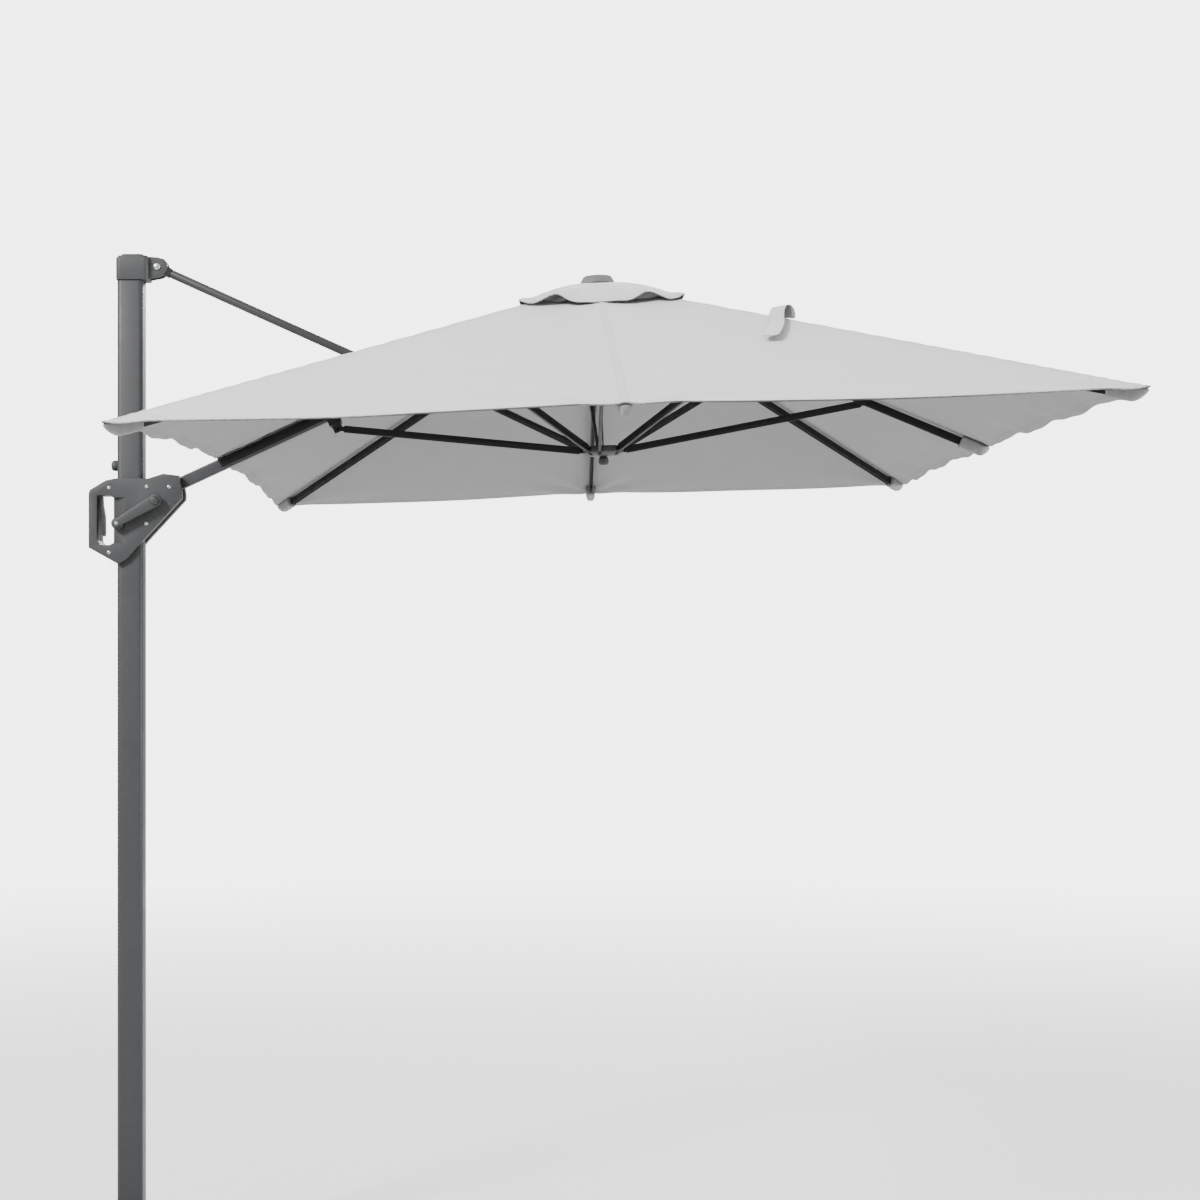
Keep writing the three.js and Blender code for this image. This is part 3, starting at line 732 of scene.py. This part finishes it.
# %% Rib tips and gores
HALF_X, HALF_Y, DROP, SINK = 1.0, 1.5, 0.465, 0.0125
MAST_LIFT = 0.037
RIB_ORDER = ["outer", "outer_right", "right", "mast_right", "mast", "mast_left", "left",
             "outer_left"]
TIPS = {
    "outer": (HALF_X, 0, -DROP), "outer_right": (HALF_X, HALF_Y, -DROP),
    "right": (0, HALF_Y, -DROP), "mast_right": (-HALF_X, HALF_Y, -DROP),
    "mast": (-HALF_X, 0, -DROP + MAST_LIFT), "mast_left": (-HALF_X, -HALF_Y, -DROP),
    "left": (0, -HALF_Y, -DROP), "outer_left": (HALF_X, -HALF_Y, -DROP),
}
CORNER_REACH = 1.013
CLOTH_TIPS = {rib: tuple(np.array(tip) * (CORNER_REACH if tip[0] and tip[1] else 1))
              for rib, tip in TIPS.items()}
VENT_SHARE = 0.15
CLOTH_THICK, HEM_THICK = 0.0014, 0.0032
BILLOW, UNEVEN, HEM_WAVE = 0.0084, 0.0016, 0.0042
RIDGE, RIDGE_WIDTH = 0.0030, 0.016
PUCKER, PUCKER_STEP, PUCKER_WIDTH = 0.0007, 0.037, 0.022
CORNER_FOLD, FOLD_REACH = 0.0075, 0.16
SLIT_X, SLIT_LONG, SLIT_WIDE = -0.535, 0.095, 0.019


def smooth_step(x, low, high):
    t = np.clip((x - low) / (high - low), 0, 1)
    return t * t * (3 - 2 * t)


def gore_facts(rib, neighbour):
    """How far a gore's hem bows inwards, as a share of its reach, and sags, in metres."""
    if "mast" in (rib, neighbour):
        return 0.010, -0.002
    if "left" in (rib, neighbour) or "right" in (rib, neighbour):
        return 0.006, 0.007
    return 0.010, 0.004


def ripple(x, y):
    """A slow, uneven wave over the cloth, about one high."""
    return (np.sin(5.1 * x + 2.3 * y + 0.4) * np.sin(4.3 * y - 3.1 * x + 1.7)
            + 0.5 * np.sin(11.0 * x - 7.0 * y + 0.6))


def strut_slit(x):
    """Half the width of the slit that the strut comes through, along the mast's rib."""
    return SLIT_WIDE * np.clip(1 - ((x - SLIT_X) / SLIT_LONG) ** 2, 0, 1) ** 0.5


def gore_point(rib, neighbour, m, f):
    """Points of the cloth: m runs from this rib to its neighbour, f from the apex to the hem.

    A flat gore between the ribs billows down, wavers, and waves at the short sides' hems. Along
    each rib it has a ridge with small puckers, and folds fan out from the rib's tip."""
    a, b = np.array(CLOTH_TIPS[rib]), np.array(CLOTH_TIPS[neighbour])
    bow, sag = gore_facts(rib, neighbour)
    between = np.sin(math.pi * m)
    near_hem = smooth_step(f, 0.55, 1.0)
    reach = f * (1 - bow * between * near_hem)
    x = reach * ((1 - m) * a[0] + m * b[0])
    y = reach * ((1 - m) * a[1] + m * b[1])
    z = -SINK * (1 - f) + reach * ((1 - m) * a[2] + m * b[2])
    z = z - between * (BILLOW * 4 * f * (1 - f) + sag * near_hem)
    z = z + UNEVEN * between * np.clip(f, 0, 1) * ripple(x, y)
    if a[0] * b[0] > 0:
        waves = np.sin(15 * y + 0.4) + 0.4 * np.sin(34 * y + 1.9)
        z = z + HEM_WAVE * smooth_step(between, 0, 0.5) * smooth_step(f, 0.86, 1.0) * waves
    for tip in (a, b):
        length = math.hypot(tip[0], tip[1])
        unit = tip[:2] / length
        off = np.abs(-unit[1] * x + unit[0] * y)
        along = unit[0] * x + unit[1] * y
        z = z + RIDGE * np.exp(-(off / RIDGE_WIDTH) ** 2)
        z = z + (PUCKER * np.sin(along * 2 * math.pi / PUCKER_STEP)
                 * np.exp(-off / PUCKER_WIDTH))
        dx, dy = x - tip[0], y - tip[1]
        far = np.hypot(dx, dy)
        swing = np.arctan2(-unit[1] * dx + unit[0] * dy, -(unit[0] * dx + unit[1] * dy) + 1e-6)
        pull = np.exp(-far / FOLD_REACH) * smooth_step(far, 0.02, 0.12)
        fan = np.sin(np.abs(swing) * 9.0) * smooth_step(off, 0.01, 0.05)
        z = z + CORNER_FOLD * pull * fan
    if rib == "mast":
        slit = strut_slit(x) * np.exp(-np.abs(y) / 0.05)
        y = np.sign(b[1]) * np.maximum(np.abs(y), slit)
    return np.stack([x, y, z], axis=-1)


print("middle of a hem", gore_point("left", "outer_left", np.array([0.5]), np.array([1.0])))

# %% [markdown]
# ## Wings of cloth
#
# Each wing is a grid of points with two sides, thicker where the hem is folded. It rides on its
# rib.

# %% Build a wing
ROWS, COLUMNS = 64, 26


def wing_grid(rib, neighbour):
    """Places, normals and edge distances over a wing, on a grid that is denser near the rib."""
    m, f = np.meshgrid(0.5 * np.linspace(0, 1, COLUMNS) ** 1.35, np.linspace(0, 1, ROWS))
    f = VENT_SHARE + (1 - VENT_SHARE) * (1 - (1 - f) ** 1.25)
    places = gore_point(rib, neighbour, m, f)
    step = 1e-4
    by_m = gore_point(rib, neighbour, m + step, f) - gore_point(rib, neighbour, m - step, f)
    by_f = gore_point(rib, neighbour, m, f + step) - gore_point(rib, neighbour, m, f - step)
    normals = np.cross(by_m, by_f)
    normals /= np.linalg.norm(normals, axis=-1, keepdims=True) + 1e-12
    normals *= np.sign(normals[..., 2:3])
    tip, other = np.array(CLOTH_TIPS[rib]), np.array(CLOTH_TIPS[neighbour])
    unit = tip[:2] / np.linalg.norm(tip[:2])
    seam = np.abs(-unit[1] * places[..., 0] + unit[0] * places[..., 1])
    edge = (other - tip)[:2] / np.linalg.norm((other - tip)[:2])
    hem = np.abs(edge[0] * (places[..., 1] - tip[1]) - edge[1] * (places[..., 0] - tip[0]))
    hem = np.maximum(hem - hem[-1:] * smooth_step(f, 0.8, 1.0), 0)
    return places, normals, seam, hem


def thick_grid(name, places, normals, seam, hem, lower_side, ring=False):
    """A closed sheet round a grid of points, with its UV maps and its own normals. The columns of
    a ring meet, so it has an inner and an outer edge only."""
    rows, columns = places.shape[:2]
    thick = CLOTH_THICK + (HEM_THICK - CLOTH_THICK) * (1 - smooth_step(hem, HEM_FOLD - 0.002,
                                                                       HEM_FOLD + 0.001))
    top = places + normals * (thick / 2)[..., None]
    low = places - normals * (thick / 2)[..., None]
    count = rows * columns
    index = np.arange(count).reshape(rows, columns)
    if ring:
        index = np.concatenate([index, index[:, :1]], 1)
    quads = np.stack([index[:-1, :-1], index[:-1, 1:], index[1:, 1:], index[1:, :-1]], -1)
    quads = quads.reshape(-1, 4)
    facing = np.cross(places[0, 1] - places[0, 0], places[1, 0] - places[0, 0])[2]
    if facing < 0:
        quads = quads[:, ::-1]
    faces = [tuple(q) for q in quads] + [tuple(q[::-1] + count) for q in quads]
    if ring:
        sides = [*zip(index[0, :-1], index[0, 1:]), *zip(index[-1, :0:-1], index[-1, -2::-1])]
    else:
        rim = [*index[0, :], *index[1:, -1], *index[-1, -2::-1], *index[-2:0:-1, 0]]
        sides = zip(rim, rim[1:] + rim[:1])
    for a, b in sides:
        side = (a, b, b + count, a + count)
        faces.append(side if facing < 0 else side[::-1])
    points = np.concatenate([top.reshape(-1, 3), low.reshape(-1, 3)])
    piece = mesh_object(name, [CANOPY_PLACE @ Vector(p) for p in points], faces)
    upward = normals.reshape(-1, 3) @ np.array(CANOPY_TURN).T
    ways = np.concatenate([upward, -upward])
    mesh = piece.data
    loops = np.zeros(len(mesh.loops), int)
    mesh.loops.foreach_get("vertex_index", loops)
    lay = places.reshape(-1, 3)[loops % count]
    rims = (seam.reshape(-1)[loops % count], hem.reshape(-1)[loops % count])
    mesh.materials.append(CLOTH)
    mesh.materials.append(lower_side)
    # The lower faces take the darker cloth, a painted shade.
    lower = np.zeros(len(mesh.polygons), np.int32)
    lower[len(quads):2 * len(quads)] = 1
    mesh.polygons.foreach_set("material_index", lower)
    weave = mesh.uv_layers.new(name="weave")
    weave.data.foreach_set("uv", lay[:, :2].astype(np.float32).ravel())
    edges = mesh.uv_layers.new(name="edges")
    edges.data.foreach_set("uv", np.stack(rims, -1).astype(np.float32).ravel())
    mesh.shade_smooth()
    mesh.normals_split_custom_set_from_vertices([tuple(w) for w in ways])
    return piece


def wing(rib, neighbour):
    places, normals, seam, hem = wing_grid(rib, neighbour)
    name = f"cloth_{rib}_by_{neighbour}"
    piece = thick_grid(name, places, normals, seam, hem, SHADED_UNDERSIDE)
    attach(piece, f"rib_{rib}")
    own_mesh(piece)
    return piece


for place, rib in enumerate(RIB_ORDER):
    for neighbour in (RIB_ORDER[place - 1], RIB_ORDER[(place + 1) % len(RIB_ORDER)]):
        wing(rib, neighbour)
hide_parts("canopy_panel_outer")
for side in ("left", "right"):
    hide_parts(f"canopy_panel_{side}")
    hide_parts(f"canopy_panel_mast_{side}")

# %% [markdown]
# ## The vent cap
#
# A small rectangle of the same cloth covers the hole at the top and lets hot air out. Its lower
# side is near-black, a painted shade for the opening under it. It is held down at its corners and
# the middles of its sides, and its hem lifts in shallow arches between them. It is a ring of points
# round the finial, so that its folds can follow both the angle and the distance from the middle.

# %% Vent cap
VENT_X, VENT_Y, VENT_DROP = 0.200, 0.300, 0.093
CLAMP_SHARE = 0.10


def vent_cap_shape():
    """The cap's points, the normals there and the share of the way from the finial to the hem."""
    turns = np.linspace(0, 2 * math.pi, 161)[:-1]
    shares = np.linspace(0, 1, 26)
    t, s = np.meshgrid(turns, shares)
    c, d = np.cos(t), np.sin(t)
    square = 1 / np.maximum(np.abs(c), np.abs(d))
    f = CLAMP_SHARE + (1 - CLAMP_SHARE) * s
    u, v = c * square, d * square
    corner = np.minimum(np.abs(u), np.abs(v))
    near_hem = smooth_step(s, 0.45, 1.0)
    arch = np.exp(-((corner - 0.60) / 0.17) ** 2) * near_hem
    curl = smooth_step(corner, 0.88, 1.0) * smooth_step(s, 0.8, 1.0)
    x = u * VENT_X * f * (1 - 0.05 * arch + 0.02 * curl)
    y = v * VENT_Y * f * (1 - 0.04 * arch + 0.02 * curl)
    fall = 0.70 * s ** 1.8 + 0.30 * s
    z = -0.0125 - (VENT_DROP - 0.0070) * fall * (1 - 0.04 * curl)
    crease = np.sin(9 * t + 1.3) + 0.6 * np.sin(17 * t + 0.4) + 0.4 * np.sin(31 * t)
    z = z + arch * 0.024 + curl * 0.006 + 0.0022 * crease * s * (1 - 0.7 * near_hem)
    z = z + 0.002 * np.exp(-((1 - corner) / 0.10) ** 2) * s
    places = np.stack([x, y, z], -1)
    by_t = np.roll(places, -1, 1) - np.roll(places, 1, 1)
    by_s = np.gradient(places, axis=0)
    normals = np.cross(by_s, by_t)
    normals /= np.linalg.norm(normals, axis=-1, keepdims=True)
    return places, normals * np.sign(normals[0, 0, 2]), s


def vent_cap():
    places, normals, s = vent_cap_shape()
    hem = (1 - s) * 0.25
    # The cap's lower side takes the near-black cloth, a painted shade.
    piece = thick_grid("vent_cap_cloth", places, normals, np.ones_like(hem), hem, VENT_SHADE_CLOTH, True)
    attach(piece, "arm")
    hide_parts("vent_cap")
    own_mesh(piece)


vent_cap()
print("made the vent cap")

# %% [markdown]
# ## Rib pockets
#
# The end of each rib sits in a small pouch sewn under the corner or the hem. A pouch is a coarse
# cage of rings round the rib, smoothed by Subdivision, with shallow folds pressed into each side.
# The wide twin rib has no pouch: its cloth is fixed along its top.

# %% Pockets
def sewn_uvs(piece):
    """Gives a small cloth piece its UV maps, with the weave in plan and no stitch rows."""
    mesh = piece.data
    loops = [mesh.vertices[loop.vertex_index].co for loop in mesh.loops]
    weave = mesh.uv_layers.new(name="weave")
    weave.data.foreach_set("uv", np.array([(p.x, p.y) for p in loops], np.float32).ravel())
    edges = mesh.uv_layers.new(name="edges")
    edges.data.foreach_set("uv", np.ones(2 * len(loops), np.float32))


def pocket(rib):
    """A pouch of rings: how far back from the tip, half the width, and how low it hangs."""
    tip = Vector(TIPS[rib])
    along = tip.normalized()
    across = Vector((0, 0, 1)).cross(along).normalized()
    up = along.cross(across)
    wide = 0.015
    rings = [(-0.078, wide + 0.003, -0.0325), (-0.073, wide + 0.002, -0.0340),
             (-0.055, wide - 0.001, -0.0325), (-0.046, wide + 0.001, -0.0340),
             (-0.030, wide - 0.002, -0.0320), (-0.019, wide, -0.0330),
             (-0.009, wide * 0.85, -0.0290)]
    if tip.x and tip.y:
        rings += [(0.004, wide * 0.7, -0.0210), (0.020, wide * 0.35, -0.0060)]
    else:
        rings += [(0.001, wide * 0.45, -0.0120)]
    points = []
    for back, half, low in rings:
        for side, height in ((-1.15, -0.0030), (-1.0, low * 0.45), (-0.80, low), (0, low * 1.02),
                             (0.80, low), (1.0, low * 0.45), (1.15, -0.0030), (0, -0.0010)):
            points.append(tip + along * back + across * half * side + up * height)
    faces = []
    for ring in range(len(rings) - 1):
        for i in range(8):
            a, b = ring * 8 + i, ring * 8 + (i + 1) % 8
            faces.append((a, b, b + 8, a + 8))
    last = 8 * (len(rings) - 1)
    faces += [tuple(range(7, -1, -1)), tuple(range(last, last + 8))]
    piece = mesh_object(f"pocket_{rib}", [CANOPY_PLACE @ p for p in points], faces)
    face_outwards(piece)
    smooth = piece.modifiers.new("soft", "SUBSURF")
    smooth.levels = smooth.render_levels = 2
    settle(piece)
    sewn_uvs(piece)
    piece.data.shade_smooth()
    # The pouch takes the darker lower-side cloth: painted shade for its place under the hem.
    piece.data.materials.append(SHADED_UNDERSIDE)
    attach(piece, f"rib_{rib}")


for rib in RIB_ORDER:
    if rib != "mast":
        pocket(rib)
print("made the pockets")

# %% [markdown]
# ## The closing strap
#
# A band of cloth sewn to one hip ties the folded canopy. Here it stands up in a fold, with its
# loose end lying down the cloth. A curve with a bevel couldn't turn its flat side so sharply, so
# the band is a row of stations, each with its own width, and Solidify and Subdivision finish it.

# %% Closing strap
STRAP_WIDTH, STRAP_THICK = 0.039, 0.0018


def on_panel(x, y, lift):
    """A point above the cloth beside the left rib, in the canopy's frame."""
    share = abs(y) / HALF_Y
    return np.array([x, y, -SINK * (1 - share) - DROP * share + lift])


def finish_band(piece):
    skin = piece.modifiers.new("thick", "SOLIDIFY")
    skin.thickness = STRAP_THICK
    skin.offset = 0
    # One side of the band takes the darker lower-side cloth: painted shade for the inside of its
    # loop.
    piece.data.materials.append(SHADED_UNDERSIDE)
    piece.data.materials.append(CLOTH)
    skin.material_offset = 1
    smooth = piece.modifiers.new("soft", "SUBSURF")
    smooth.levels = smooth.render_levels = 2
    settle(piece)
    sewn_uvs(piece)
    piece.data.shade_smooth()
    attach(piece, "rib_outer_left")


def closing_strap():
    """Stations down the strap: a point, then the direction of its width and half the width."""
    stations = [
        (on_panel(0.421, -0.620, 0.002), (1.0, -0.35, -0.15), 0.016),
        (on_panel(0.422, -0.607, 0.014), (1.0, -0.30, -0.10), 0.018),
        (on_panel(0.416, -0.600, 0.026), (1.0, -0.20, 0.05), 0.019),
        (on_panel(0.405, -0.605, 0.033), (1.0, -0.15, 0.12), 0.019),
        (on_panel(0.395, -0.622, 0.027), (1.0, -0.10, 0.15), 0.018),
        (on_panel(0.389, -0.648, 0.015), (1.0, -0.10, 0.05), 0.018),
        (on_panel(0.385, -0.700, 0.008), (1.00, -0.2, 0.0), 0.019),
        (on_panel(0.374, -0.755, 0.010), (1.00, -0.2, 0.0), 0.0195),
        (on_panel(0.362, -0.810, 0.006), (1.00, -0.2, 0.0), 0.020),
        (on_panel(0.350, -0.860, 0.008), (1.00, -0.2, 0.0), 0.020),
    ]
    rows, length = [], 0
    for i, (point, way, half) in enumerate(stations):
        way = np.array(way) / np.linalg.norm(way)
        for side in np.linspace(-1, 1, 5):
            crown = 0.0015 * (1 - side * side) * (-1) ** i
            rows.append(CANOPY_PLACE @ Vector(point + way * half * side + (0, 0, crown)))
        if i:
            length += float(np.linalg.norm(point - stations[i - 1][0]))
    faces = [(a * 5 + b, a * 5 + b + 1, (a + 1) * 5 + b + 1, (a + 1) * 5 + b)
             for a in range(len(stations) - 1) for b in range(4)]
    piece = mesh_object("closing_strap_band", rows, faces)
    finish_band(piece)
    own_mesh(piece)
    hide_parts("closing_strap")
    print("strap length", round(length, 3))


closing_strap()
